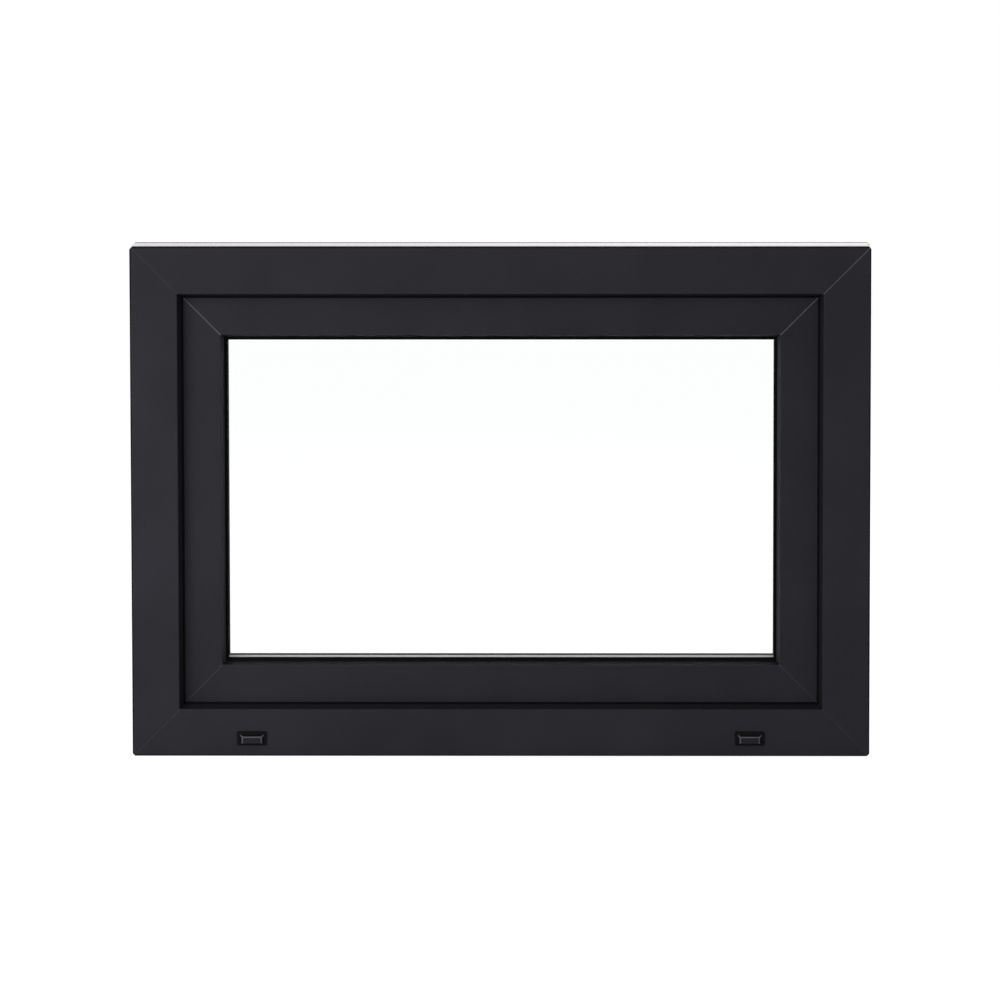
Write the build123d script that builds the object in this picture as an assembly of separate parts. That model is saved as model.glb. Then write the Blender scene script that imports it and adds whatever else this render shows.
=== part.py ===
from build123d import *
import os

# Tilt and turn window, single sash, PVC-u profiles with foil on both faces.
# X runs along the sill, Y from outside to inside, Z up.
# The origin is the centre of the sill's underside, at the middle of the frame's depth.
# A cross-section is drawn as (y, u): u is the distance in from the window's outer edge.
# Every size is in millimetres.

# Outer frame
window_width = 900.0
window_height = 624.0
frame_depth = 70.0              # outside face to inside face
frame_face = 57.4               # outer edge to the front edge of the lip
frame_rebate = 42.0             # outer edge to the rebate floor
lip_thickness = 18.0            # outside lip that the sash closes against
lip_slope = 4.2                 # how far the lip leans in from front to back
corner_chamfer = 3.2            # cut across the four welded outer corners
edge_round = 1.5                # drawn edges of every profile
outer_wall = 3.0                # visible walls of every profile
web = 1.5                       # walls between chambers
frame_steel_chamber = 29.0      # wide chamber that takes the reinforcement
frame_steel_offset = 5.0        # middle of the depth to the middle of that chamber, towards the inside
frame_drain_floor = 18.0        # outer edge to the floor of the drained front chambers
weld_groove_width = 1.6         # shallow groove that cleaning leaves along each visible weld
weld_groove_depth = 0.5

# Clip grooves round the frame's outer edge
clip_groove_spacing = 40.0
clip_groove_mouth = 5.0
clip_groove_floor = 8.0
clip_groove_depth = 4.0

# Sash
sash_depth = 70.0
sash_air_gap = 12.0             # rebate floor to the sash's edge, where the hardware runs
sash_height = 43.0              # sash edge to the glazing rebate floor
sash_face = 55.2                # sash edge to the front edge of the glazing lip
sash_overlap = 8.0              # how far the sash laps over the frame inside
glazing_lip_thickness = 15.0
glazing_lip_slope = 3.9
sash_steel_chamber = 30.0
hardware_axis = 13.0            # back of the overlap to the middle of the hardware groove
hardware_channel_width = 12.0
hardware_channel_depth = 8.0
hardware_seat_width = 16.4
hardware_seat_depth = 2.6

# Seals
stop_gap = 3.0                  # gasket space between frame and sash, outside and inside
glazing_gap = 3.0               # gasket space on each side of the glass
gasket_foot_width = 3.0
gasket_foot_depth = 4.0
stop_gasket_nose = 2.3          # how far the stop gasket shows past the lip
gasket_band = 12.5              # height of a gasket's flat part
gasket_round = 1.0              # edges of a gasket's nose
glazing_gasket_nose = 3.4       # how far the outside glazing gasket shows past the glazing lip

# Sealed glass unit
pane_thickness = 4.0
cavity = 16.0
glass_edge_clearance = 5.0      # glazing rebate floor to the glass edge
spacer_height = 6.5
spacer_wall = 0.5
block_length = 100.0            # glazing blocks
block_corner_distance = 120.0   # glass corner to the middle of a block

# Glazing bead
bead_height = 19.5
bead_flat_top = 13.0
bead_foot_height = 6.0          # straight part of its inside face
bead_wall = 1.6
bead_clip_width = 3.0
bead_clip_depth = 5.0
bead_clip_inset = 4.0           # inside face of the sash to the clip

# Drain slots and their hooded caps
drain_from_corner = 146.0       # end of the sill to the middle of an outer slot
slot_sill = 1.5                 # floor of the drained chambers to the bottom of an outer slot
slot_length = 26.0
slot_height = 5.0
rebate_slot_shift = 45.0        # outer slot to the slot in the rebate floor, towards the middle
rebate_slot_inset = 0.5         # back of the lip to the slot in the rebate floor
cap_length = 36.5
cap_height = 17.4
cap_plate = 1.2
cap_round = 1.6
hood_length = 29.2
hood_height = 10.0
hood_depth = 4.5
hood_wall = 1.2
hood_inset = 3.0                # bottom of the cap's plate to the bottom of the hood
hood_side_draft = 2.7           # how far each end of the hood leans in
hood_top_draft = 2.1
hood_ridge = 0.8                # flat along the edges of the hood's front
cap_leg_length = 7.0
cap_leg_thickness = 1.5

# Handle, on the stile away from the hinges
handle_backset = 15.5           # sash edge to the handle's axis
rosette_width = 30.0
rosette_height = 68.0
rosette_thickness = 10.0
rosette_round = 13.0
rosette_chamfer = 2.0
collar_diameter = 24.0
collar_thickness = 4.0
neck_diameter = 15.0
handle_projection = 52.0        # sash face to the outside of the grip
grip_length = 124.0
grip_width = 20.0
grip_thickness = 12.0
grip_tip_width = 16.0
grip_tip_thickness = 9.0
grip_round = 4.0                # edges of the grip's outside
grip_chamfer = 1.0              # edges towards the sash

# Hinges
hinge_axis_clearance = 10.0     # edge of the overlap to the hinge axis
hinge_axis_height = 11.0        # frame's inside face to the hinge axis
barrel_diameter = 15.0
pin_diameter = 7.0
pin_head_diameter = 11.0
pin_head_height = 3.0
pin_chamfer = 0.8
pin_clearance = 0.05
hinge_gap = 0.3                 # between the two halves of a hinge, and beside the sash
bearing_width = 20.0            # foot of a bearing on the frame
bearing_foot = 3.0
leaf_thickness = 4.0
leaf_width = 26.0
leaf_round = 4.0
knuckle_width = 8.0
housing_chamfer = 1.0
corner_bearing_from = 16.0      # sill's underside to the bottom of the lower bearing
corner_bearing_length = 38.0
corner_hinge_length = 58.0
stay_bearing_to = 16.0          # frame's top to the top of the upper bearing
stay_bearing_length = 44.0
stay_hinge_length = 34.0

# Limits across the depth, from outside to inside
outside = -frame_depth / 2
inside = frame_depth / 2
lip_back = outside + lip_thickness
sash_out = lip_back + stop_gap
sash_in = sash_out + sash_depth
overlap_back = inside + stop_gap
glazing_back = sash_out + glazing_lip_thickness
glass_out = glazing_back + glazing_gap
cavity_out = glass_out + pane_thickness
cavity_in = cavity_out + cavity
glass_in = cavity_in + pane_thickness
bead_out = glass_in + glazing_gap

# Limits from the outer edge towards the glass
lip_end = frame_face + lip_slope
sash_edge = frame_rebate + sash_air_gap
overlap_edge = frame_rebate - sash_overlap
glass_rebate = sash_edge + sash_height
sash_face_end = sash_edge + sash_face
glazing_lip_end = sash_face_end + glazing_lip_slope
glass_edge = glass_rebate + glass_edge_clearance
sight_line = glazing_lip_end + glazing_gasket_nose
bead_top = glass_rebate + bead_height

# Gasket feet, each in a groove behind its gasket
stop_foot = frame_face - gasket_foot_width - edge_round
glazing_foot = sash_face_end - gasket_foot_width - edge_round
overlap_foot = overlap_edge + outer_wall

# Drainage
drain_x = window_width / 2 - drain_from_corner
drain_height = frame_drain_floor + slot_sill + slot_height / 2

middle = Pos(0, 0, window_height / 2)


def block(y_from, y_to, u_from, u_to):
    """A rectangle by its limits, for a cross-section."""
    return Pos((y_from + y_to) / 2, (u_from + u_to) / 2) * Rectangle(y_to - y_from, u_to - u_from)


def chambers(y_from, y_to, u_from, u_to, count=1):
    """Equal chambers side by side across the depth, with webs between them."""
    pitch = (y_to - y_from + web) / count
    row = [block(y_from + i * pitch, y_from + (i + 1) * pitch - web, u_from, u_to) for i in range(count)]
    return Sketch() + row


def outline(*points):
    return make_face(Polyline(*points, close=True))


def rounded(face, corners, radius):
    """Rounds the corners of a cross-section that lie at the given points."""
    return fillet([face.vertices().sort_by_distance((y, u, 0))[0] for y, u in corners], radius)


def clip_groove(y):
    """An undercut groove in the frame's outer edge."""
    mouth, floor = clip_groove_mouth / 2, clip_groove_floor / 2
    depth = clip_groove_depth
    return outline((y - mouth, 0), (y + mouth, 0), (y + floor, depth), (y - floor, depth))


def gasket_foot(y_from, u_from, depth=gasket_foot_depth):
    """The foot of a gasket, and the groove that holds it."""
    return block(y_from, y_from + depth, u_from, u_from + gasket_foot_width)


def frame_section():
    body = outline(
        (outside, 0), (inside, 0), (inside, frame_rebate),
        (lip_back, frame_rebate), (lip_back, lip_end), (outside, frame_face),
    )
    drawn_edges = [(outside, 0), (inside, 0), (inside, frame_rebate), (outside, frame_face)]
    body = rounded(body, drawn_edges, edge_round)
    floor = clip_groove_depth + outer_wall
    roof = frame_rebate - outer_wall
    steel_from = frame_steel_offset - frame_steel_chamber / 2
    steel_to = frame_steel_offset + frame_steel_chamber / 2
    body -= chambers(outside + outer_wall, steel_from - web, floor, frame_drain_floor - web, 2)
    body -= chambers(outside + outer_wall, steel_from - web, frame_drain_floor, roof, 2)
    body -= chambers(steel_from, steel_to, floor, roof)
    body -= chambers(steel_to + web, inside - outer_wall, floor, roof)
    lip_chamber_back = lip_back - gasket_foot_depth - web
    body -= chambers(outside + outer_wall, lip_chamber_back, roof + web, frame_face - outer_wall)
    body -= gasket_foot(lip_back - gasket_foot_depth, stop_foot)
    return body - [clip_groove(y) for y in (-clip_groove_spacing / 2, clip_groove_spacing / 2)]


def sash_section():
    body = outline(
        (sash_out, sash_edge), (overlap_back, sash_edge), (overlap_back, overlap_edge),
        (sash_in, overlap_edge), (sash_in, glass_rebate), (glazing_back, glass_rebate),
        (glazing_back, glazing_lip_end), (sash_out, sash_face_end),
    )
    drawn_edges = [(sash_out, sash_edge), (sash_in, overlap_edge), (sash_out, sash_face_end)]
    body = rounded(body, drawn_edges, edge_round)
    groove = overlap_back - hardware_axis
    seat, channel = hardware_seat_width / 2, hardware_channel_width / 2
    body -= block(groove - seat, groove + seat, sash_edge, sash_edge + hardware_seat_depth)
    body -= block(groove - channel, groove + channel, sash_edge, sash_edge + hardware_channel_depth)
    roof = glass_rebate - outer_wall
    steel_from = groove - sash_steel_chamber / 2
    steel_to = groove + sash_steel_chamber / 2
    body -= chambers(sash_out + outer_wall, steel_from - web, sash_edge + outer_wall, roof, 2)
    body -= chambers(steel_from, steel_to, sash_edge + hardware_channel_depth + outer_wall, roof)
    inner_from = overlap_back + gasket_foot_depth + web
    clip_floor = glass_rebate - bead_clip_depth - web
    body -= chambers(inner_from, sash_in - outer_wall, overlap_edge + outer_wall, sash_edge)
    body -= chambers(inner_from, sash_in - outer_wall, sash_edge + web, clip_floor)
    lip_chamber_back = glazing_back - gasket_foot_depth - web
    body -= chambers(sash_out + outer_wall, lip_chamber_back, roof + web, sash_face_end - outer_wall)
    body -= gasket_foot(glazing_back - gasket_foot_depth, glazing_foot)
    body -= gasket_foot(overlap_back, overlap_foot)
    return body - bead_clip()


def bead_clip():
    y = sash_in - bead_clip_inset
    return block(y - bead_clip_width, y, glass_rebate - bead_clip_depth, glass_rebate)


def bead_section():
    body = outline(
        (bead_out, glass_rebate), (sash_in, glass_rebate), (sash_in, glass_rebate + bead_foot_height),
        (bead_out + bead_flat_top, bead_top), (bead_out, bead_top),
    )
    shell = body - offset(body, -bead_wall)
    shoulders = [(sash_in, glass_rebate + bead_foot_height), (bead_out + bead_flat_top, bead_top)]
    shell = rounded(shell, shoulders, bead_wall)
    return shell + bead_clip()


def gasket_section(y_from, y_to, u_end, foot_y, foot_u):
    """A flat band that fills its gap, with a rounded nose and a foot in the groove behind it."""
    band = block(y_from, y_to, u_end - gasket_band, u_end)
    band = rounded(band, [(y_from, u_end), (y_to, u_end)], gasket_round)
    return band + gasket_foot(foot_y, foot_u, y_from - foot_y)


def weld_grooves(length, reach, face, inward):
    """The grooves along both mitres of a side, in its face at y = face. Inward is 1 or -1 along Y."""
    mitre = Plane(origin=(-length / 2, face, 0), x_dir=(0, inward, 0), z_dir=(1, 0, 1))
    half = weld_groove_width / 2
    groove = extrude(mitre * outline((0, -half), (weld_groove_depth, 0), (0, half)), 2 * reach)
    return [groove, mirror(groove, about=Plane.YZ)]


def bar(section, length, welded=()):
    """One mitred side of a rectangle of this section, lying along X with its outer edge at z = 0."""
    reach = section.bounding_box().max.Y + 1
    half = length / 2
    straight = extrude(Plane.YZ * section, half, both=True)
    wedge = outline((-half - 1, -1), (half + 1, -1), (half - reach, reach), (reach - half, reach))
    side = straight & extrude(Plane.XZ * wedge, frame_depth + sash_depth, both=True)
    for face, inward in welded:
        side -= weld_grooves(length, reach, face, inward)
    return side


def sides(section, welded=()):
    """The four mitred sides of a ring of this section, by name."""
    across = bar(section, window_width, welded)
    upright = bar(section, window_height, welded)
    return {
        "bottom": across,
        "top": Pos(0, 0, window_height) * Rot(0, 180, 0) * across,
        "left": middle * Pos(-window_width / 2, 0, 0) * Rot(0, 90, 0) * upright,
        "right": middle * Pos(window_width / 2, 0, 0) * Rot(0, -90, 0) * upright,
    }


def ring(section):
    """A closed ring of this section, such as a gasket with welded corners."""
    return Part() + list(sides(section).values())


def drain_slots():
    """Outer slots through to the second front chamber, and the slots that feed it from the rebate floor."""
    rebate_y = lip_back + rebate_slot_inset + slot_height / 2
    slots = []
    for side in (-1, 1):
        outer_slot = Box(slot_length, 2 * lip_thickness, slot_height)
        rebate_slot = Box(slot_length, slot_height, 2 * (outer_wall + web))
        slots.append(Pos(side * drain_x, outside, drain_height) * outer_slot)
        slots.append(Pos(side * (drain_x - rebate_slot_shift), rebate_y, frame_rebate) * rebate_slot)
    return slots


def make_frame():
    silhouette = Rectangle(window_width, window_height)
    silhouette = chamfer(silhouette.vertices(), corner_chamfer)
    silhouette = middle * extrude(Plane.XZ * silhouette, frame_depth, both=True)
    welded = sides(frame_section(), [(outside, 1), (inside, -1)])
    members = {side: member & silhouette for side, member in welded.items()}
    return {
        "frame_sill": members["bottom"] - drain_slots(),
        "frame_head": members["top"],
        "frame_jamb_left": members["left"],
        "frame_jamb_right": members["right"],
    }


def make_sash():
    members = sides(sash_section(), [(sash_out, 1), (sash_in, -1)])
    return {
        "sash_bottom_rail": members["bottom"],
        "sash_top_rail": members["top"],
        "sash_stile_left": members["left"],
        "sash_stile_right": members["right"],
    }


def make_beads():
    return {"bead_" + side: bead for side, bead in sides(bead_section()).items()}


def make_gaskets():
    overlap_nose = overlap_edge + gasket_foot_width + 2 * outer_wall
    overlap = block(inside, overlap_back, overlap_edge + edge_round, overlap_nose)
    overlap += gasket_foot(overlap_back, overlap_foot)
    bead_band = rounded(
        block(glass_in, bead_out, bead_top - gasket_band, bead_top),
        [(glass_in, bead_top), (bead_out, bead_top)], gasket_round)
    return {
        "frame_gasket": ring(gasket_section(
            lip_back, sash_out, lip_end + stop_gasket_nose, lip_back - gasket_foot_depth, stop_foot)),
        "glazing_gasket": ring(gasket_section(
            glazing_back, glass_out, sight_line, glazing_back - gasket_foot_depth, glazing_foot)),
        "overlap_gasket": ring(overlap),
        "bead_gasket": ring(bead_band),
    }


def make_glass():
    width = window_width - 2 * glass_edge
    height = window_height - 2 * glass_edge
    pane = Box(width, pane_thickness, height)
    spacer_from = sight_line - spacer_height
    spacer = block(cavity_out, cavity_in, spacer_from, sight_line)
    spacer -= offset(spacer, -spacer_wall)
    seal = block(cavity_out, cavity_in, glass_edge, spacer_from)
    return {
        "outer_pane": middle * Pos(0, glass_out + pane_thickness / 2, 0) * pane,
        "inner_pane": middle * Pos(0, cavity_in + pane_thickness / 2, 0) * pane,
        "glass_spacer": ring(spacer),
        "edge_seal": ring(seal),
    }


def make_glazing_blocks():
    """Pads that carry and centre the sealed unit in the sash rebate."""
    thickness = glass_in - glass_out
    depth_middle = (glass_out + glass_in) / 2
    lying = Box(block_length, thickness, glass_edge_clearance)
    standing = Box(glass_edge_clearance, thickness, block_length)
    x = window_width / 2 - glass_edge - block_corner_distance
    z = window_height / 2 - glass_edge - block_corner_distance
    x_side = window_width / 2 - glass_edge + glass_edge_clearance / 2
    z_side = window_height / 2 - glass_edge + glass_edge_clearance / 2
    blocks = [middle * Pos(sx * x, depth_middle, -z_side) * lying for sx in (-1, 1)]
    blocks += [middle * Pos(sx * x_side, depth_middle, -sx * z) * standing for sx in (-1, 1)]
    return Part() + blocks


def make_hood(length, height, depth, side_draft, top_draft, floor):
    """A frustum on the cap's plate with a level bottom at z = floor. It leans in at its ends and its top."""
    face = Plane.XZ
    foot = Pos(0, floor + height / 2) * Rectangle(length, height)
    front = Pos(0, floor + (height - top_draft) / 2) * Rectangle(length - 2 * side_draft, height - top_draft)
    return loft([face * foot, face.offset(depth) * front])


def make_drain_cap(x):
    """A hooded cap: a flat plate with a hood that is open below, and two legs in the slot."""
    plate = extrude(Plane.XZ * RectangleRounded(cap_length, cap_height, cap_round), cap_plate)
    floor = hood_inset - cap_height / 2
    hood = make_hood(hood_length, hood_height, hood_depth, hood_side_draft, hood_top_draft, floor)
    front = hood.faces().sort_by(Axis.Y)[0]
    hood = chamfer(front.edges().sort_by(Axis.Z)[1:], hood_ridge)
    hollow = make_hood(hood_length - 2 * hood_wall, hood_height, hood_depth - hood_wall,
                       hood_side_draft, hood_top_draft, floor - hood_wall)
    way_through = Box(slot_length - 2 * cap_leg_thickness, 2 * (cap_plate + hood_wall), slot_height)
    leg = Box(cap_leg_thickness, cap_leg_length, slot_height)
    leg_x = (slot_length - cap_leg_thickness) / 2
    cap = plate + Pos(0, -cap_plate, 0) * (hood - hollow) - way_through
    cap += [Pos(side * leg_x, cap_leg_length / 2, 0) * leg for side in (-1, 1)]
    return Pos(x, outside, drain_height) * cap


def make_rosette():
    """The plate that the handle turns on, with its collar. Local Y points to the room."""
    face = -Plane.XZ
    plate = extrude(face * RectangleRounded(rosette_width, rosette_height, rosette_round), rosette_thickness)
    plate = chamfer(plate.faces().sort_by(Axis.Y)[-1].edges(), rosette_chamfer)
    collar = extrude(face.offset(rosette_thickness) * Circle(collar_diameter / 2), collar_thickness)
    return plate + collar


def make_lever():
    """Neck and grip in one piece, hanging down as when closed. The grip thins and narrows to its tip."""
    grip_in = handle_projection - grip_thickness
    past_top, past_tip = grip_width, -grip_length
    side_view = outline(
        (handle_projection, past_top), (grip_in, past_top),
        (handle_projection - grip_tip_thickness, past_tip), (handle_projection, past_tip))
    tip_z = (grip_width + grip_tip_width) / 2 - grip_length
    tip = Pos(0, tip_z) * Circle(grip_tip_width / 2)
    front_view = make_hull(Circle(grip_width / 2).edges() + tip.edges())
    grip = extrude(Plane.YZ * side_view, grip_width, both=True)
    grip &= extrude(Plane.XZ * front_view, 2 * handle_projection, both=True)
    grip = fillet(grip.faces().sort_by(Axis.Y)[-1].edges(), grip_round)
    grip = chamfer(grip.faces().sort_by(Axis.Y)[0].edges(), grip_chamfer)
    neck_from = rosette_thickness + collar_thickness
    neck_face = (-Plane.XZ).offset(neck_from) * Circle(neck_diameter / 2)
    return grip + extrude(neck_face, grip_in + grip_thickness / 2 - neck_from)


def make_handle():
    place = Pos(window_width / 2 - sash_edge - handle_backset, sash_in, window_height / 2)
    return {"handle_rosette": place * make_rosette(), "handle_lever": place * make_lever()}


def faired(foot):
    """A cross-section that joins the hinge barrel to a rectangle without a waist."""
    return make_hull(Circle(barrel_diameter / 2).edges() + foot.edges())


def housing(section, z_from, length):
    """A straight moulded body of this section along the hinge axis, with its ends' edges cut back."""
    body = Pos(0, 0, z_from) * extrude(section, length)
    ends = body.faces().sort_by(Axis.Z)
    return chamfer(ends[0].edges() + ends[-1].edges(), housing_chamfer)


def make_hinge(name, bearing_from, bearing_length, hinge_from, hinge_length):
    """A frame bearing and a sash leaf on one pin. Local X points to the glass, Y to the room."""
    x = -(window_width / 2 - overlap_edge + hinge_axis_clearance)
    place = Pos(x, inside + hinge_axis_height, 0)
    pin_low = min(bearing_from, hinge_from)
    pin_high = max(bearing_from + bearing_length, hinge_from + hinge_length)
    pin_length = pin_high - pin_low
    bore = Pos(0, 0, (pin_low + pin_high) / 2) * Cylinder(pin_diameter / 2 + pin_clearance, pin_length)
    foot = block(-bearing_width / 2, bearing_width / 2, -hinge_axis_height, bearing_foot - hinge_axis_height)
    bearing = housing(faired(foot), bearing_from, bearing_length) - bore
    leaf_in = sash_in - inside - hinge_axis_height
    leaf_out = leaf_in + leaf_thickness
    beside_sash = hinge_axis_clearance - hinge_gap
    root = block(-knuckle_width / 2, beside_sash, leaf_in, leaf_out)
    leaf_end = hinge_axis_clearance + leaf_width
    leaf = block(-knuckle_width / 2, leaf_end, leaf_in, leaf_out)
    plate = Pos(0, 0, hinge_from) * extrude(leaf, hinge_length)
    far_edges = plate.edges().filter_by(Axis.Y).group_by(Axis.X)[-1]
    plate = fillet(far_edges, leaf_round)
    plate = chamfer(plate.faces().sort_by(Axis.Y)[-1].edges(), housing_chamfer)
    hinge = housing(faired(root), hinge_from, hinge_length) + plate - bore
    pin = Pos(0, 0, (pin_low + pin_high) / 2) * Cylinder(pin_diameter / 2, pin_length)
    head = Pos(0, 0, pin_high + pin_head_height / 2) * Cylinder(pin_head_diameter / 2, pin_head_height)
    head = chamfer(head.faces().sort_by(Axis.Z)[-1].edges(), pin_chamfer)
    return {
        name + "_bearing": place * bearing,
        name + "_hinge": place * hinge,
        name + "_pin": place * (pin + head),
    }


def make_hinges():
    lower_from = corner_bearing_from
    upper_to = window_height - stay_bearing_to
    upper_from = upper_to - stay_bearing_length
    nodes = make_hinge("corner", lower_from, corner_bearing_length,
                       lower_from + corner_bearing_length + hinge_gap, corner_hinge_length)
    nodes.update(make_hinge("stay", upper_from, stay_bearing_length,
                            upper_from - hinge_gap - stay_hinge_length, stay_hinge_length))
    return nodes


nodes = {}
nodes.update(make_frame())
nodes.update(make_sash())
nodes.update(make_beads())
nodes.update(make_gaskets())
nodes.update(make_glass())
nodes["glazing_blocks"] = make_glazing_blocks()
nodes["drain_cap_left"] = make_drain_cap(-drain_x)
nodes["drain_cap_right"] = make_drain_cap(drain_x)
nodes.update(make_handle())
nodes.update(make_hinges())

os.makedirs("parts", exist_ok=True)
for name, solid in nodes.items():
    export_step(solid, "parts/" + name + ".step")
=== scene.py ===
from math import radians

import bmesh
import bpy
from bpy.props import FloatProperty, FloatVectorProperty, PointerProperty
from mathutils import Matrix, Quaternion, Vector


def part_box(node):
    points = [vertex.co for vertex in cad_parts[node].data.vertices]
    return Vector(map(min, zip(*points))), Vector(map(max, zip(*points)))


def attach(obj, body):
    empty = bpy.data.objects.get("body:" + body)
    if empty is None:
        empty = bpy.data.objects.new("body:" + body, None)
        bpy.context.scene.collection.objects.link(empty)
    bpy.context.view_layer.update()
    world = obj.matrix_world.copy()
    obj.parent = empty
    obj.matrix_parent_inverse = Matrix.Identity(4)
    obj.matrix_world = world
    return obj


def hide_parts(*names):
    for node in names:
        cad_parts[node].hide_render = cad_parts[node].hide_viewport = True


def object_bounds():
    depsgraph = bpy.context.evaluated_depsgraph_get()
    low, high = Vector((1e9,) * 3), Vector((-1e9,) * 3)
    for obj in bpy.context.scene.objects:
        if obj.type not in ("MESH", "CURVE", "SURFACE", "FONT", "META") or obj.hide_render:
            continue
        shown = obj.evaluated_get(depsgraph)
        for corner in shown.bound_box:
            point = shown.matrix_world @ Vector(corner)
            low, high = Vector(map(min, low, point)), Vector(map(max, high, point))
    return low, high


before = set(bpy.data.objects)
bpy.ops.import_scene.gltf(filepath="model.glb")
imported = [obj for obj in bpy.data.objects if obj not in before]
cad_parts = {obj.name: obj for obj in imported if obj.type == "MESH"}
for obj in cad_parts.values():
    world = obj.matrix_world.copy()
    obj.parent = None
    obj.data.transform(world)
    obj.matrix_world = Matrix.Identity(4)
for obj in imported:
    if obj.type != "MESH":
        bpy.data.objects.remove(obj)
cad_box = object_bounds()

bl_info = {
    "name": "Tilt and turn window",
    "version": (1, 0, 0),
    "blender": (4, 5, 0),
    "location": "View3D > Sidebar > Window",
    "description": "Finishes a packed tilt and turn window and lights it on a pale floor",
    "category": "Object",
}

MM = 0.001
BODY = "root"
WIDTH = cad_box[1][0] - cad_box[0][0]
HEIGHT = cad_box[1][2] - cad_box[0][2]
OUTSIDE, INSIDE = (corner.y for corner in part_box("frame_sill"))
SASH_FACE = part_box("sash_bottom_rail")[0].y
# The lips' slanted returns start here, measured in from the window's outer edge
FRAME_RETURN = 57.5 * MM
SASH_RETURN = 109.4 * MM
# The lips' front edges are rounded this deep, and one finish blends into the next over a width of FADE
LIP_ROUND = 0.7 * MM
FADE = 1 * MM
# Sockets of the Mix node by place, because several of them have the same name
FACTOR, A_NUMBER, B_NUMBER, A_COLOUR, B_COLOUR = 0, 2, 3, 6, 7
MIXED_NUMBER, MIXED_COLOUR = 0, 2


def linear(hex_colour):
    """The linear values of an sRGB hex colour such as 2d2c31."""
    channels = [int(hex_colour[i:i + 2], 16) / 255 for i in (0, 2, 4)]
    return tuple(c / 12.92 if c <= 0.04045 else ((c + 0.055) / 1.055) ** 2.4 for c in channels)


def rgba(colour):
    return (*colour, 1.0)


def shaded(colour, factor):
    return rgba([min(1.0, c * factor) for c in colour])


def colour_property(name, description, hex_colour):
    return FloatVectorProperty(
        name=name, description=description, subtype="COLOR", size=3, min=0, max=1, default=linear(hex_colour))


def length_property(name, description, millimetres):
    return FloatProperty(name=name, description=description, unit="LENGTH", default=millimetres * MM, min=0)


def share_property(name, description, share):
    return FloatProperty(name=name, description=description, subtype="FACTOR", default=share, min=0, max=1)


def add_node(tree, kind, sockets=None, **settings):
    """Adds a node with its settings and gives its outputs.

    A socket that is given another node's output is linked to it, and any other is set.
    """
    made = tree.nodes.new("ShaderNode" + kind)
    for name, value in settings.items():
        setattr(made, name, value)
    for key, value in (sockets or {}).items():
        if isinstance(value, bpy.types.NodeSocket):
            tree.links.new(value, made.inputs[key])
        else:
            made.inputs[key].default_value = value
    return made.outputs


def new_material(name):
    """An empty node material, its node tree and its Object coordinates."""
    material = bpy.data.materials.new(name)
    material.use_nodes = True
    material.node_tree.nodes.clear()
    return material, material.node_tree, add_node(material.node_tree, "TexCoord")["Object"]


def wear_material(node_names, material):
    """Gives CAD nodes their finish."""
    for name in node_names:
        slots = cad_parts[name].data.materials
        slots.clear()
        slots.append(material)


def distance(tree, value, place):
    """How far a value lies from a place, either way."""
    difference = add_node(tree, "Math", {0: value, 1: place}, operation="SUBTRACT")[0]
    return add_node(tree, "Math", {0: difference}, operation="ABSOLUTE")[0]


def where_all(tree, *masks):
    """Where every one of some masks holds."""
    result = masks[0]
    for mask in masks[1:]:
        result = add_node(tree, "Math", {0: result, 1: mask}, operation="MULTIPLY")[0]
    return result


def edge_distances(tree, axes):
    """How far a point is in from the window's nearer upright, nearer level and nearest outer edge."""
    off_centre = distance(tree, axes[0], 0.0)
    off_middle = distance(tree, axes[2], HEIGHT / 2)
    across = add_node(tree, "Math", {0: WIDTH / 2, 1: off_centre}, operation="SUBTRACT")[0]
    up = add_node(tree, "Math", {0: HEIGHT / 2, 1: off_middle}, operation="SUBTRACT")[0]
    return across, up, add_node(tree, "Math", {0: across, 1: up}, operation="MINIMUM")[0]


def weld_and_highlight_mask(tree, settings, coordinates, axes, across, up, edge):
    """The cleaned weld along each mitre, a real paler line with painted highlight added: strongest on the
    sash's upper corners, strong at the frame's upper right corner and faint elsewhere.
    """
    solid_share = 0.3
    line = add_node(tree, "MapRange", {
        "Value": distance(tree, across, up),
        "From Min": settings.weld_half_width * solid_share, "From Max": settings.weld_half_width,
        "To Min": 1.0, "To Max": 0.0}, interpolation_type="SMOOTHSTEP")[0]
    upper = add_node(tree, "Math", {0: axes[2], 1: HEIGHT / 2}, operation="GREATER_THAN")[0]
    right = add_node(tree, "Math", {0: axes[0], 1: 0.0}, operation="GREATER_THAN")[0]
    on_frame = add_node(tree, "Math", {0: edge, 1: FRAME_RETURN}, operation="LESS_THAN")[0]
    # Painted highlight: the frame's upper right corner and the sash's upper corners get the stronger weld
    # lines
    frame_weld = add_node(tree, "Mix", {
        FACTOR: where_all(tree, upper, right),
        A_NUMBER: settings.frame_weld, B_NUMBER: settings.frame_weld_highlight})[MIXED_NUMBER]
    sash_weld = add_node(tree, "Mix", {
        FACTOR: upper, A_NUMBER: settings.sash_weld, B_NUMBER: settings.sash_weld_highlight})[MIXED_NUMBER]
    strength = add_node(tree, "Mix", {
        FACTOR: on_frame, A_NUMBER: sash_weld, B_NUMBER: frame_weld})[MIXED_NUMBER]
    patches = add_node(tree, "TexNoise", {
        "Vector": coordinates, "Scale": 1 / settings.weld_patch, "Detail": 1.0})[0]
    broken = add_node(tree, "MapRange", {
        "Value": patches, "From Min": 0.25, "From Max": 0.5, "To Min": 0.6, "To Max": 1.0},
        interpolation_type="SMOOTHSTEP")[0]
    return where_all(tree, line, strength, broken)


def outline_shade_mask(tree, settings, axes, edge):
    """Where shade is painted along the window's outline on its outside face, where the foil turns round it.
    """
    solid_share = 0.6
    turn = add_node(tree, "MapRange", {
        "Value": edge, "From Min": settings.outline_shade_width * solid_share, "From Max": settings.outline_shade_width,
        "To Min": 1.0, "To Max": 0.0}, interpolation_type="SMOOTHSTEP")[0]
    at_face = add_node(
        tree, "Math", {0: axes[1], 1: OUTSIDE + settings.outline_shade_width}, operation="LESS_THAN")[0]
    return where_all(tree, turn, at_face)


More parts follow.
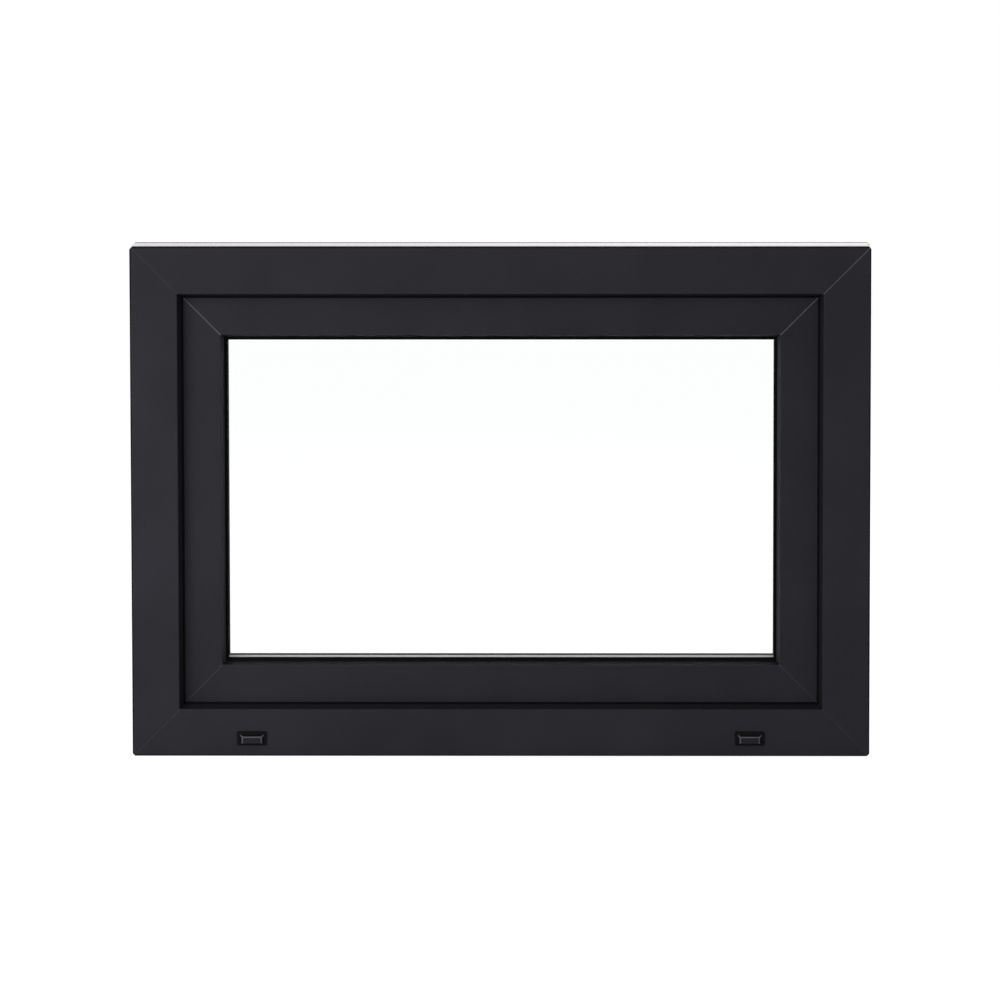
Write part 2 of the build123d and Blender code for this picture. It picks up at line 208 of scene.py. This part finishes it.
def return_mask(tree, axes, edge, face, back, lip_end):
    """The slanted return of a lip, from behind its rounded front edge to its back."""
    behind = add_node(tree, "MapRange", {
        "Value": axes[1], "From Min": face + LIP_ROUND, "From Max": face + LIP_ROUND + FADE,
        "To Min": 0.0, "To Max": 1.0}, interpolation_type="SMOOTHSTEP")[0]
    before = add_node(tree, "Math", {0: axes[1], 1: back}, operation="LESS_THAN")[0]
    past_lip = add_node(tree, "Math", {0: edge, 1: lip_end}, operation="GREATER_THAN")[0]
    return where_all(tree, behind, before, past_lip)


def bare_mask(tree, settings, axes, edge):
    """The frame's outer edge between the two turned ends of the foil, down into its clip grooves."""
    foil_end = INSIDE - settings.foil_turn
    between = add_node(tree, "MapRange", {
        "Value": distance(tree, axes[1], 0.0), "From Min": foil_end - FADE, "From Max": foil_end,
        "To Min": 1.0, "To Max": 0.0}, interpolation_type="SMOOTHSTEP")[0]
    outer = add_node(tree, "Math", {0: edge, 1: settings.bare_depth}, operation="LESS_THAN")[0]
    return where_all(tree, between, outer)


def foil_material(name, settings, grain_scale, sash_return_light_and_shade, gloss):
    """PVC-u profile, extruded white and laminated with an embossed anthracite acrylic foil.

    The eye gets a nearly flat dark grey with a violet cast, a soft sheen, faint strokes along the profile,
    a paler hairline where each weld was cleaned, with painted highlight added on the upper corners, painted
    shade along the window's outline, on the frame lip's return and on the sash lip's level returns, painted
    light on the sash lip's upright returns, and white plastic between the foil's two ends. The strokes are
    drawn longer and wider than the real emboss, which is too fine to show.
    """
    material, tree, coordinates = new_material(name)
    axes = add_node(tree, "SeparateXYZ", {0: coordinates})
    across, up, edge = edge_distances(tree, axes)
    grain = add_node(tree, "Mapping", {"Vector": coordinates, "Scale": grain_scale})[0]
    strokes = add_node(tree, "TexNoise", {"Vector": grain, "Scale": 1.0, "Detail": 4.0, "Roughness": 0.6})[0]
    clouds = add_node(tree, "TexNoise", {"Vector": coordinates, "Scale": 1 / settings.cloud_size})[0]
    tone = add_node(tree, "Mix", {
        FACTOR: settings.cloud_share, A_NUMBER: strokes, B_NUMBER: clouds})[MIXED_NUMBER]
    colour = add_node(tree, "Mix", {
        FACTOR: tone,
        A_COLOUR: shaded(settings.foil_colour, 1 - settings.tone_spread),
        B_COLOUR: shaded(settings.foil_colour, 1 + settings.tone_spread)}, data_type="RGBA")[MIXED_COLOUR]
    layers = (
        # A real paler weld line, with painted highlight on the upper corners
        (weld_and_highlight_mask(tree, settings, coordinates, axes, across, up, edge), settings.weld_and_highlight_colour),
        # Painted shade along the window's outline
        (outline_shade_mask(tree, settings, axes, edge), settings.outline_shade_colour),
        # Painted shade on the frame lip's return
        (return_mask(tree, axes, edge, OUTSIDE, SASH_FACE, FRAME_RETURN), settings.frame_return_shade_colour),
        # Painted shade on the sash lip's level returns, painted light on its upright returns
        (return_mask(tree, axes, edge, SASH_FACE, INSIDE, SASH_RETURN), sash_return_light_and_shade),
        (bare_mask(tree, settings, axes, edge), settings.core_colour),
    )
    for mask, layer_colour in layers:
        colour = add_node(tree, "Mix", {
            FACTOR: mask, A_COLOUR: colour, B_COLOUR: rgba(layer_colour)}, data_type="RGBA")[MIXED_COLOUR]
    emboss = add_node(tree, "Bump", {"Strength": 0.3, "Distance": settings.grain_depth, "Height": strokes})[0]
    surface = add_node(tree, "BsdfPrincipled", {
        "Base Color": colour, "Roughness": 0.5, "IOR": 1.5, "Specular IOR Level": gloss, "Normal": emboss})
    add_node(tree, "OutputMaterial", {"Surface": surface[0]})
    return material


def gasket_material(settings):
    """Thermoplastic elastomer, extruded and welded at the corners: matt black with a faint dusty bloom."""
    material, tree, coordinates = new_material("elastomer_extruded")
    bloom = add_node(tree, "TexNoise", {
        "Vector": coordinates, "Scale": 1 / settings.bloom_size, "Detail": 3.0})[0]
    colour = add_node(tree, "Mix", {
        FACTOR: bloom, A_COLOUR: rgba(settings.gasket_colour), B_COLOUR: rgba(settings.bloom_colour)},
        data_type="RGBA")[MIXED_COLOUR]
    surface = add_node(tree, "BsdfPrincipled", {
        "Base Color": colour, "Roughness": 0.75, "IOR": 1.5, "Specular IOR Level": 0.03})
    add_node(tree, "OutputMaterial", {"Surface": surface[0]})
    return material


def glass_material(settings):
    """Clear float glass: nearly colourless, and it lets the lamps' light through.

    Its IOR is below float glass's 1.5, because two panes' four surfaces in white surroundings reflect more
    than the eye gets from a real window.
    """
    material, tree, _ = new_material("glass_float")
    tint = rgba(settings.glass_colour)
    glass = add_node(tree, "BsdfPrincipled", {
        "Base Color": tint, "Roughness": 0.0, "IOR": 1.3, "Transmission Weight": 1.0})
    clear = add_node(tree, "BsdfTransparent", {"Color": tint})
    shadow = add_node(tree, "LightPath")["Is Shadow Ray"]
    surface = add_node(tree, "MixShader", {0: shadow, 1: glass[0], 2: clear[0]})
    add_node(tree, "OutputMaterial", {"Surface": surface[0]})
    return material


def hole_row(tree, settings, along):
    """1 on each hole's stretch of a row, 0 between the holes."""
    pitches = add_node(tree, "Math", {0: along, 1: settings.hole_pitch}, operation="DIVIDE")[0]
    part = add_node(tree, "Math", {0: pitches}, operation="FRACT")[0]
    half_hole = settings.hole_length / settings.hole_pitch / 2
    return add_node(tree, "Math", {0: distance(tree, part, 0.5), 1: half_hole}, operation="LESS_THAN")[0]


def spacer_material(settings):
    """Aluminium spacer, roll-formed and matt lacquered, with a row of fine holes towards the cavity.

    The level runs and the uprights are lit and shaded copies of one lacquer: the uprights are painted much
    darker as shade, and the level runs are paler and grittier.
    """
    material, tree, coordinates = new_material("aluminium_spacer_lacquered")
    axes = add_node(tree, "SeparateXYZ", {0: coordinates})
    facing = add_node(tree, "SeparateXYZ", {0: add_node(tree, "NewGeometry")["Normal"]})
    level = add_node(tree, "MapRange", {
        "Value": distance(tree, facing[2], 0.0), "From Min": 0.3, "From Max": 0.8,
        "To Min": 0.0, "To Max": 1.0}, interpolation_type="SMOOTHSTEP")[0]
    grit = add_node(tree, "TexNoise", {
        "Vector": coordinates, "Scale": 1 / settings.grit_size, "Detail": 3.0})[0]
    gritty = add_node(tree, "Mix", {
        FACTOR: grit,
        A_COLOUR: shaded(settings.spacer_colour, 0.85),
        B_COLOUR: shaded(settings.spacer_colour, 1.1)}, data_type="RGBA")[MIXED_COLOUR]
    # Painted shade: the uprights take a much darker colour than the level runs
    plain = add_node(tree, "Mix", {
        FACTOR: level, A_COLOUR: rgba(settings.spacer_side_shade_colour), B_COLOUR: gritty},
        data_type="RGBA")[MIXED_COLOUR]
    spaced = add_node(tree, "Mix", {
        FACTOR: level, A_NUMBER: hole_row(tree, settings, axes[2]),
        B_NUMBER: hole_row(tree, settings, axes[0])})[MIXED_NUMBER]
    spacer_low, spacer_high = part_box("glass_spacer")
    off_row = distance(tree, axes[1], (spacer_low.y + spacer_high.y) / 2)
    in_row = add_node(tree, "Math", {0: off_row, 1: settings.hole_width / 2}, operation="LESS_THAN")[0]
    # The holes are painted dark as the shade inside them
    colour = add_node(tree, "Mix", {
        FACTOR: where_all(tree, spaced, in_row), A_COLOUR: plain, B_COLOUR: rgba(settings.hole_shade_colour)},
        data_type="RGBA")[MIXED_COLOUR]
    surface = add_node(tree, "BsdfPrincipled", {
        "Base Color": colour, "Roughness": 0.6, "IOR": 1.5, "Specular IOR Level": 0.0})
    add_node(tree, "OutputMaterial", {"Surface": surface[0]})
    return material


def grained_material(name, colour, grain, roughness, gloss, spread=0.15, relief=0.02 * MM, metallic=0.0):
    """A finish with one fine grain, whose size and relief are in metres, in its tone and its surface."""
    material, tree, coordinates = new_material(name)
    grains = add_node(tree, "TexNoise", {"Vector": coordinates, "Scale": 1 / grain, "Detail": 3.0})[0]
    tone = add_node(tree, "Mix", {
        FACTOR: grains, A_COLOUR: shaded(colour, 1 - spread), B_COLOUR: shaded(colour, 1 + spread)},
        data_type="RGBA")[MIXED_COLOUR]
    bumps = add_node(tree, "Bump", {"Strength": 0.2, "Distance": relief, "Height": grains})[0]
    surface = add_node(tree, "BsdfPrincipled", {
        "Base Color": tone, "Roughness": roughness, "Metallic": metallic, "Specular IOR Level": gloss,
        "Normal": bumps})
    add_node(tree, "OutputMaterial", {"Surface": surface[0]})
    return material


def deselect():
    bpy.ops.object.select_all(action="DESELECT")


def activate(piece):
    deselect()
    piece.select_set(True)
    bpy.context.view_layer.objects.active = piece


def add_box(name, lowest, highest, *materials):
    """A box primitive between two corners, with its place in its mesh."""
    deselect()
    lowest, highest = Vector(lowest), Vector(highest)
    bpy.ops.mesh.primitive_cube_add(size=1, location=(lowest + highest) / 2)
    piece = bpy.context.object
    piece.name = piece.data.name = name
    piece.scale = highest - lowest
    bpy.ops.object.transform_apply(location=True, rotation=True, scale=True)
    for material in materials:
        piece.data.materials.append(material)
    return piece


def edit(piece):
    """Opens a piece in edit mode with nothing selected."""
    activate(piece)
    bpy.ops.object.mode_set(mode="EDIT")
    bpy.ops.mesh.select_all(action="DESELECT")


def close():
    bpy.ops.object.mode_set(mode="OBJECT")


def pick_faces(piece, test):
    """Selects only the faces that pass a test on their middle and their direction."""
    bpy.ops.mesh.select_mode(type="FACE")
    bpy.ops.mesh.select_all(action="DESELECT")
    mesh = bmesh.from_edit_mesh(piece.data)
    for face in mesh.faces:
        face.select_set(test(face.calc_center_median(), face.normal))
    bmesh.update_edit_mesh(piece.data)


def pick_edges(piece, test):
    """Selects only the edges that pass a test on their two ends."""
    bpy.ops.mesh.select_mode(type="EDGE")
    bpy.ops.mesh.select_all(action="DESELECT")
    mesh = bmesh.from_edit_mesh(piece.data)
    for edge in mesh.edges:
        edge.select_set(test(*(vert.co for vert in edge.verts)))
    bmesh.update_edit_mesh(piece.data)


def near(value, target):
    return abs(value - target) < 0.01 * MM


def apply_modifier(piece, kind, **settings):
    activate(piece)
    modifier = piece.modifiers.new("step", kind)
    for name, value in settings.items():
        setattr(modifier, name, value)
    bpy.ops.object.modifier_apply(modifier=modifier.name)


def cut_away(piece, cutter):
    apply_modifier(piece, "BOOLEAN", object=cutter, operation="DIFFERENCE", solver="EXACT")
    bpy.data.objects.remove(cutter)


def joined(pieces):
    """One piece from several, named as the first."""
    activate(pieces[0])
    for piece in pieces:
        piece.select_set(True)
    bpy.ops.object.join()
    return pieces[0]


def moved_copy(piece, name, offset):
    """A copy with its own mesh, moved in its mesh."""
    made = piece.copy()
    made.data = piece.data.copy()
    made.name = made.data.name = name
    bpy.context.scene.collection.objects.link(made)
    activate(made)
    made.location = offset
    bpy.ops.object.transform_apply(location=True, rotation=True, scale=True)
    return made


def cap_hood(low, high, settings, *materials):
    """The cap's hood: open below and behind, leaning in at its ends and its top, with rounded ridges.

    The materials are the body's, the ridges' and the front's, in that order.
    """
    ridges, front = 1, 2
    middle = (low.x + high.x) / 2
    face = OUTSIDE - settings.cap_plate
    floor = low.z + settings.hood_inset
    half, tall = settings.hood_length / 2, settings.hood_height
    hood = add_box("hood", (middle - half, low.y, floor), (middle + half, face, floor + tall), *materials)
    edit(hood)
    pick_faces(hood, lambda centre, normal: normal.y < -0.9)
    narrower = (1 - settings.hood_side_draft / half, 1, 1 - settings.hood_top_draft / tall)
    bpy.ops.transform.resize(value=narrower, center_override=(middle, low.y, floor))
    pick_edges(hood, lambda a, b: min(a.y, b.y) < face - MM and max(a.z, b.z) > floor + MM)
    bpy.ops.mesh.bevel(offset=settings.hood_ridge, segments=3, affect="EDGES", material=ridges)
    pick_faces(hood, lambda centre, normal: normal.y < -0.99)
    hood.active_material_index = front
    bpy.ops.object.material_slot_assign()
    pick_faces(hood, lambda centre, normal: normal.z < -0.9 or normal.y > 0.9)
    bpy.ops.mesh.delete(type="FACE")
    close()
    apply_modifier(hood, "SOLIDIFY", thickness=settings.hood_wall, offset=-1, use_even_offset=True)
    return hood


def model_drain_cap(name, settings, *materials):
    """A hooded drain cap: a rounded plate with a slot, its hood, and two legs for the sill's slot."""
    low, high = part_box("drain_cap_left")
    middle = (low + high) / 2
    face = OUTSIDE - settings.cap_plate
    plate = add_box(name, (low.x, face, low.z), (high.x, OUTSIDE, high.z), materials[0])
    edit(plate)
    pick_edges(plate, lambda a, b: near(a.x, b.x) and near(a.z, b.z))
    bpy.ops.mesh.bevel(offset=settings.cap_round, segments=5, affect="EDGES")
    pick_edges(plate, lambda a, b: near(a.y, face) and near(b.y, face))
    bpy.ops.mesh.bevel(offset=settings.cap_plate / 4, segments=2, affect="EDGES")
    close()
    leg_end = settings.slot_length / 2
    inner = leg_end - settings.leg_thickness
    half_slot = settings.slot_height / 2
    cut_away(plate, add_box("slot", (middle.x - inner, face - MM, middle.z - half_slot),
                            (middle.x + inner, OUTSIDE + MM, middle.z + half_slot)))
    legs = []
    for side in (middle.x - leg_end, middle.x + inner):
        legs.append(add_box("leg", (side, OUTSIDE, middle.z - half_slot),
                            (side + settings.leg_thickness, high.y, middle.z + half_slot), materials[0]))
    cap = joined([plate, cap_hood(low, high, settings, *materials), *legs])
    bpy.ops.object.shade_smooth_by_angle(angle=radians(30))
    return cap


class ProfileSettings(bpy.types.PropertyGroup):
    foil_colour: colour_property("Foil", "Colour of the laminated foil", "2d2c31")
    tone_spread: share_property("Tone spread", "How much darker and paler the foil gets", 0.35)
    # Painted shade along the window's outline
    outline_shade_colour: colour_property("Turned edge colour", "Foil where it turns round the outline", "0c0c0e")
    # Painted shade on the frame lip's return
    frame_return_shade_colour: colour_property("Frame return", "Foil on the frame lip's return", "1d1d20")
    # Painted shade on the sash lip's level returns
    rail_return_shade_colour: colour_property("Rail return", "Foil on the sash lip's level returns", "151517")
    # Painted light on the sash lip's upright returns
    stile_return_lit_colour: colour_property("Stile return", "Foil on the sash lip's upright returns", "2e2d32")
    core_colour: colour_property("Core", "Colour of the plastic under the foil", "efece8")
    # A real paler weld line, with painted highlight added on the upper corners
    weld_and_highlight_colour: colour_property("Weld", "Colour of the cleaned weld lines", "5c5b60")
    weld_half_width: length_property("Weld half width", "Half width of a cleaned weld line", 1.5)
    weld_patch: length_property("Weld patch", "Size of a weld line's fainter patches", 11.1)
    frame_weld: share_property("Frame weld", "Strength of the frame's weld lines", 0.2)
    # Painted highlight at the frame's upper right corner
    frame_weld_highlight: share_property("Clear frame weld", "Strength at the upper right corner", 0.75)
    sash_weld: share_property("Sash weld", "Strength of the sash's lower weld lines", 0.3)
    # Painted highlight on the sash's upper corners
    sash_weld_highlight: share_property("Clear sash weld", "Strength of the sash's upper weld lines", 1.0)
    # Width of the painted shade along the window's outline
    outline_shade_width: length_property("Turned edge", "How far the dull turn of the foil shows on the face", 2.0)
    foil_turn: length_property("Foil turn", "How far the foil turns round the frame's outer edge", 10.0)
    bare_depth: length_property("Bare depth", "How deep the bare plastic shows in the outer grooves", 12.0)
    gloss: share_property("Gloss", "Specular level of the foil on the frame and the sash", 0.03)
    bead_gloss: share_property("Bead gloss", "Specular level of the foil on the beads", 0.0)
    grain_length: length_property("Grain length", "Length of the foil's embossed strokes", 14.0)
    grain_width: length_property("Grain width", "Width of the foil's embossed strokes", 0.9)
    grain_depth: length_property("Grain depth", "Depth of the foil's embossed strokes", 0.05)
    cloud_size: length_property("Cloud size", "Size of the foil's broad changes of tone", 111.0)
    cloud_share: share_property("Cloud share", "Share of the broad changes in the foil's tone", 0.6)


class SealSettings(bpy.types.PropertyGroup):
    gasket_colour: colour_property("Gasket", "Colour of the gaskets", "080809")
    bloom_colour: colour_property("Bloom", "Colour of the gaskets' dusty bloom", "0f0f11")
    bloom_size: length_property("Bloom size", "Size of the spots of bloom", 2.5)
    sealant_colour: colour_property("Sealant", "Colour of the glass unit's edge seal", "1a1a1b")
    sealant_wave: length_property("Sealant wave", "Size of the waves left by tooling the edge seal", 4.0)


class GlassSettings(bpy.types.PropertyGroup):
    glass_colour: colour_property("Glass", "Tint of the panes", "fdfefe")
    spacer_colour: colour_property("Spacer", "Colour of the spacer's level runs", "b0a9a5")
    # Painted shade on the spacer's uprights
    spacer_side_shade_colour: colour_property("Spacer side", "Colour of the spacer's uprights", "171716")
    grit_size: length_property("Grit size", "Size of the grit on the spacer's level runs", 1.43)
    # Painted shade inside the spacer's holes
    hole_shade_colour: colour_property("Hole", "Colour inside the spacer's holes", "191919")
    hole_pitch: length_property("Hole pitch", "Spacing of the fine holes along the spacer", 3.0)
    hole_length: length_property("Hole length", "Length of a hole in the spacer", 0.96)
    hole_width: length_property("Hole width", "Width of a hole in the spacer", 0.9)
    block_colour: colour_property("Glazing block", "Colour of the glazing blocks", "4a6a8c")


class FittingSettings(bpy.types.PropertyGroup):
    cap_colour: colour_property("Drain cap", "Colour of the drain caps", "0e0e10")
    # Painted sheen on the front of each cap's hood
    front_sheen_colour: colour_property("Hood front", "Colour of the front of a cap's hood", "262628")
    # Painted highlight along each cap's hood ridges
    ridge_highlight_colour: colour_property("Cap ridge", "Colour along the rubbed ridges of a cap's hood", "58585d")
    cap_plate: length_property("Cap plate", "Thickness of a drain cap's plate", 1.2)
    cap_round: length_property("Cap round", "Corner radius of a drain cap", 1.6)
    hood_length: length_property("Hood length", "Length of the hood at the plate", 29.2)
    hood_height: length_property("Hood height", "Height of the hood at the plate", 10.0)
    hood_wall: length_property("Hood wall", "Wall of the hood", 1.2)
    hood_inset: length_property("Hood inset", "Bottom of the plate to the bottom of the hood", 3.0)
    hood_side_draft: length_property("Hood side draft", "How far each end of the hood leans in", 2.7)
    hood_top_draft: length_property("Hood top draft", "How far the hood's top leans down", 2.1)
    hood_ridge: length_property("Hood ridge", "Width of the hood's rounded ridges", 1.0)
    slot_length: length_property("Slot length", "Length of the drain slot in the sill", 26.0)
    slot_height: length_property("Slot height", "Height of the drain slot", 5.0)
    leg_thickness: length_property("Leg thickness", "Thickness of a cap's leg in the slot", 1.5)
    handle_colour: colour_property("Handle", "Colour of the handle", "c4c5c7")
    hinge_colour: colour_property("Hinge", "Colour of the hinges", "b9babc")


class StageSettings(bpy.types.PropertyGroup):
    camera_distance: FloatProperty(
        name="Camera distance", description="From the window's outside face", unit="LENGTH", default=9.0)
    camera_rise: FloatProperty(
        name="Camera rise", description="Above the middle of the window", unit="LENGTH", default=1.05)
    camera_offset: FloatProperty(
        name="Camera offset", description="To the right of the middle of the window", unit="LENGTH",
        default=0.12)
    camera_aim: FloatVectorProperty(
        name="Camera aim", description="Where the camera looks, from the middle of the window",
        subtype="TRANSLATION", size=3, default=(-0.5 * MM, 0, 3.0 * MM))
    camera_roll: FloatProperty(
        name="Camera roll", description="Levels the window's edges in the picture", subtype="ANGLE",
        default=radians(-0.078))
    window_share: share_property("Window share", "The window's width as a share of the picture's", 0.7396)
    world_strength: FloatProperty(name="World", description="Strength of the even light", default=0.5)
    floor_colour: colour_property("Floor", "Colour of the floor", "f4f4f4")
    floor_side: FloatProperty(
        name="Floor side", description="Length of the floor's sides", unit="LENGTH", default=30.0)
    floor_glow: FloatProperty(
        name="Floor glow", description="Strength of the floor where it is seen", default=1.15)
    glow_share: share_property("Glow share", "Share of the glow where the floor is seen", 0.8)


class WINDOW_OT_profiles(bpy.types.Operator):
    """Give the frame, the sash and the beads their foil."""
    bl_idname = "window.profiles"
    bl_label = "Profiles"

    def execute(self, context):
        settings = context.scene.window_profiles
        along, round_it = 1 / settings.grain_length, 1 / settings.grain_width
        # Each run's grain, its sash lip return colour (painted shade on the level runs, painted light on the
        # upright runs), its profiles and its beads
        runs = {
            "level": ((along, round_it, round_it), settings.rail_return_shade_colour,
                      ("frame_sill", "frame_head", "sash_bottom_rail", "sash_top_rail"),
                      ("bead_bottom", "bead_top")),
            "upright": ((round_it, round_it, along), settings.stile_return_lit_colour,
                        ("frame_jamb_left", "frame_jamb_right", "sash_stile_left", "sash_stile_right"),
                        ("bead_left", "bead_right")),
        }
        for run, (grain_scale, sash_return_light_and_shade, profiles, beads) in runs.items():
            parts = {"profile": (profiles, settings.gloss), "bead": (beads, settings.bead_gloss)}
            for part, (nodes, gloss) in parts.items():
                name = "pvc_foiled_" + part + "_" + run
                wear_material(nodes, foil_material(name, settings, grain_scale, sash_return_light_and_shade, gloss))
        return {"FINISHED"}


class WINDOW_OT_seals(bpy.types.Operator):
    """Give the gaskets and the edge seal their finish."""
    bl_idname = "window.seals"
    bl_label = "Seals"

    def execute(self, context):
        settings = context.scene.window_seals
        wear_material(("frame_gasket", "glazing_gasket", "overlap_gasket", "bead_gasket"),
                      gasket_material(settings))
        # Polysulfide, gunned in and tooled off: dull black with slight waves
        wear_material(("edge_seal",), grained_material(
            "polysulfide_tooled", settings.sealant_colour, settings.sealant_wave,
            roughness=0.6, gloss=0.3, relief=0.1 * MM))
        return {"FINISHED"}


class WINDOW_OT_glass(bpy.types.Operator):
    """Give the panes, the spacer and the glazing blocks their finish."""
    bl_idname = "window.glass"
    bl_label = "Glass unit"

    def execute(self, context):
        settings = context.scene.window_glass
        wear_material(("outer_pane", "inner_pane"), glass_material(settings))
        wear_material(("glass_spacer",), spacer_material(settings))
        # Polypropylene, injection moulded: blue and slightly waxy
        wear_material(("glazing_blocks",), grained_material(
            "polypropylene_moulded", settings.block_colour, 1.5 * MM, roughness=0.5, gloss=0.4))
        return {"FINISHED"}


class WINDOW_OT_drain_caps(bpy.types.Operator):
    """Model the hooded drain caps on the sill."""
    bl_idname = "window.drain_caps"
    bl_label = "Drain caps"

    def execute(self, context):
        settings = context.scene.window_fittings
        # ASA, injection moulded: near black and satin, with painted highlight on the hood's ridges and
        # painted sheen on the hood's front
        tones = {
            "asa_moulded": settings.cap_colour,
            "asa_ridge_highlight": settings.ridge_highlight_colour,
            "asa_front_sheen": settings.front_sheen_colour,
        }
        finishes = [grained_material(name, colour, 0.8 * MM, roughness=0.45, gloss=0.05)
                    for name, colour in tones.items()]
        left = model_drain_cap("cap_moulding_left", settings, *finishes)
        left_to_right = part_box("drain_cap_right")[0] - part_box("drain_cap_left")[0]
        right = moved_copy(left, "cap_moulding_right", left_to_right)
        for cap, node in ((left, "drain_cap_left"), (right, "drain_cap_right")):
            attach(cap, BODY)
            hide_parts(node)
        return {"FINISHED"}


class WINDOW_OT_fittings(bpy.types.Operator):
    """Give the handle and the hinges their finish."""
    bl_idname = "window.fittings"
    bl_label = "Fittings"

    def execute(self, context):
        settings = context.scene.window_fittings
        # Aluminium, die-cast, blasted and anodised: matt silver with an even grit, drawn at half a
        # millimetre because the real one is too fine to show
        wear_material(("handle_rosette", "handle_lever"), grained_material(
            "aluminium_anodised", settings.handle_colour, 0.5 * MM,
            roughness=0.32, gloss=0.5, spread=0.05, relief=0.01 * MM, metallic=1.0))
        # Zinc, die-cast and powder-coated silver: satin with a faint orange peel
        hinges = ("corner_bearing", "corner_hinge", "corner_pin", "stay_bearing", "stay_hinge", "stay_pin")
        wear_material(hinges, grained_material(
            "zinc_powder_coated", settings.hinge_colour, 1.2 * MM,
            roughness=0.38, gloss=0.4, spread=0.04, relief=0.03 * MM))
        return {"FINISHED"}


def add_camera(scene, settings):
    """A camera that sees the window nearly face on, from a little above it."""
    data = bpy.data.cameras.new("camera")
    camera = bpy.data.objects.new("camera", data)
    scene.collection.objects.link(camera)
    middle = Vector((0, OUTSIDE, HEIGHT / 2))
    place = middle + Vector((settings.camera_offset, -settings.camera_distance, settings.camera_rise))
    sight = middle + Vector(settings.camera_aim) - place
    camera.location = place
    roll = Quaternion((0, 0, 1), settings.camera_roll)
    camera.rotation_euler = (sight.to_track_quat("-Z", "Y") @ roll).to_euler()
    data.lens = data.sensor_width * sight.length * settings.window_share / WIDTH
    data.clip_end = 100
    scene.camera = camera


def area_light(scene, name, place, aim, sides, power):
    """A soft lamp that is seen in reflections only."""
    data = bpy.data.lights.new(name, "AREA")
    data.shape = "RECTANGLE"
    data.size, data.size_y = sides
    data.energy = power
    lamp = bpy.data.objects.new(name, data)
    scene.collection.objects.link(lamp)
    lamp.location = place
    lamp.rotation_euler = (Vector(aim) - Vector(place)).to_track_quat("-Z", "Y").to_euler()
    lamp.visible_camera = False
    lamp.visible_transmission = False


def seen_directly(tree):
    """1 for the rays that show the background: straight, in reflections and through glass."""
    path = add_node(tree, "LightPath")
    straight = add_node(
        tree, "Math", {0: path["Is Camera Ray"], 1: path["Is Transmission Ray"]}, operation="MAXIMUM")[0]
    return add_node(tree, "Math", {0: straight, 1: path["Is Glossy Ray"]}, operation="MAXIMUM")[0]


def add_floor(settings):
    """A painted floor that also glows where it is seen, so that it looks white and keeps some shadow."""
    deselect()
    bpy.ops.mesh.primitive_plane_add(size=settings.floor_side, location=(0, 0, 0))
    floor = bpy.context.object
    floor.name = "floor"
    material, tree, _ = new_material("floor_painted")
    paint = add_node(tree, "BsdfDiffuse", {"Color": rgba(settings.floor_colour)})
    glow = add_node(tree, "Emission", {"Color": (1, 1, 1, 1), "Strength": settings.floor_glow})
    glowing = add_node(
        tree, "Math", {0: seen_directly(tree), 1: settings.glow_share}, operation="MULTIPLY")[0]
    surface = add_node(tree, "MixShader", {0: glowing, 1: paint[0], 2: glow[0]})
    add_node(tree, "OutputMaterial", {"Surface": surface[0]})
    floor.data.materials.append(material)


def add_world(scene, settings):
    """Even light, and a white background where it is seen."""
    scene.world = bpy.data.worlds.new("studio")
    scene.world.use_nodes = True
    tree = scene.world.node_tree
    tree.nodes.clear()
    strength = add_node(tree, "Mix", {
        FACTOR: seen_directly(tree), A_NUMBER: settings.world_strength, B_NUMBER: 1.0})[MIXED_NUMBER]
    light = add_node(tree, "Background", {"Color": (1, 1, 1, 1), "Strength": strength})
    add_node(tree, "OutputWorld", {"Surface": light[0]})


class WINDOW_OT_stage(bpy.types.Operator):
    """Set the camera, the lamps, the floor and the white background."""
    bl_idname = "window.stage"
    bl_label = "Stage"

    def execute(self, context):
        scene = context.scene
        settings = scene.window_stage
        add_camera(scene, settings)
        # Each lamp's place, aim and sides in metres, and its power in watts
        lamps = {
            "key": ((-1.4, -1.9, 1.2), (-0.1, 0, 0.35), (0.9, 0.9), 15.5),
            "side": ((-0.9, -0.74, 0.36), (-0.4, 0, 0.3), (0.5, 0.5), 2.4),
            "top": ((0.1, 0.3, 2.6), (0, 0, 0.3), (1.6, 1.0), 8),
            "back": ((0.6, 2.6, 1.8), (0, 0, 0.3), (1.4, 1.0), 26),
        }
        for name, lamp in lamps.items():
            area_light(scene, name, *lamp)
        add_floor(settings)
        add_world(scene, settings)
        scene.view_settings.view_transform = "Standard"
        return {"FINISHED"}


class WINDOW_PT_panel(bpy.types.Panel):
    """The window's settings and steps, in the 3D view's sidebar."""
    bl_idname = "WINDOW_PT_panel"
    bl_label = "Tilt and turn window"
    bl_space_type = "VIEW_3D"
    bl_region_type = "UI"
    bl_category = "Window"

    def draw(self, context):
        for group in GROUPS:
            settings = getattr(context.scene, group)
            for name in settings.bl_rna.properties.keys():
                if name not in ("rna_type", "name"):
                    self.layout.prop(settings, name)
        for step in STEPS:
            self.layout.operator(step.bl_idname)


GROUPS = {
    "window_profiles": ProfileSettings,
    "window_seals": SealSettings,
    "window_glass": GlassSettings,
    "window_fittings": FittingSettings,
    "window_stage": StageSettings,
}
STEPS = (WINDOW_OT_stage, WINDOW_OT_profiles, WINDOW_OT_seals, WINDOW_OT_glass, WINDOW_OT_drain_caps,
         WINDOW_OT_fittings)
CLASSES = (*GROUPS.values(), *STEPS, WINDOW_PT_panel)


def register():
    for kind in CLASSES:
        bpy.utils.register_class(kind)
    for name, kind in GROUPS.items():
        setattr(bpy.types.Scene, name, PointerProperty(type=kind))


def unregister():
    for name in GROUPS:
        delattr(bpy.types.Scene, name)
    for kind in reversed(CLASSES):
        bpy.utils.unregister_class(kind)


def main():
    register()
    for step in STEPS:
        group, name = step.bl_idname.split(".")
        getattr(getattr(bpy.ops, group), name)()


if __name__ == "__main__":
    main()
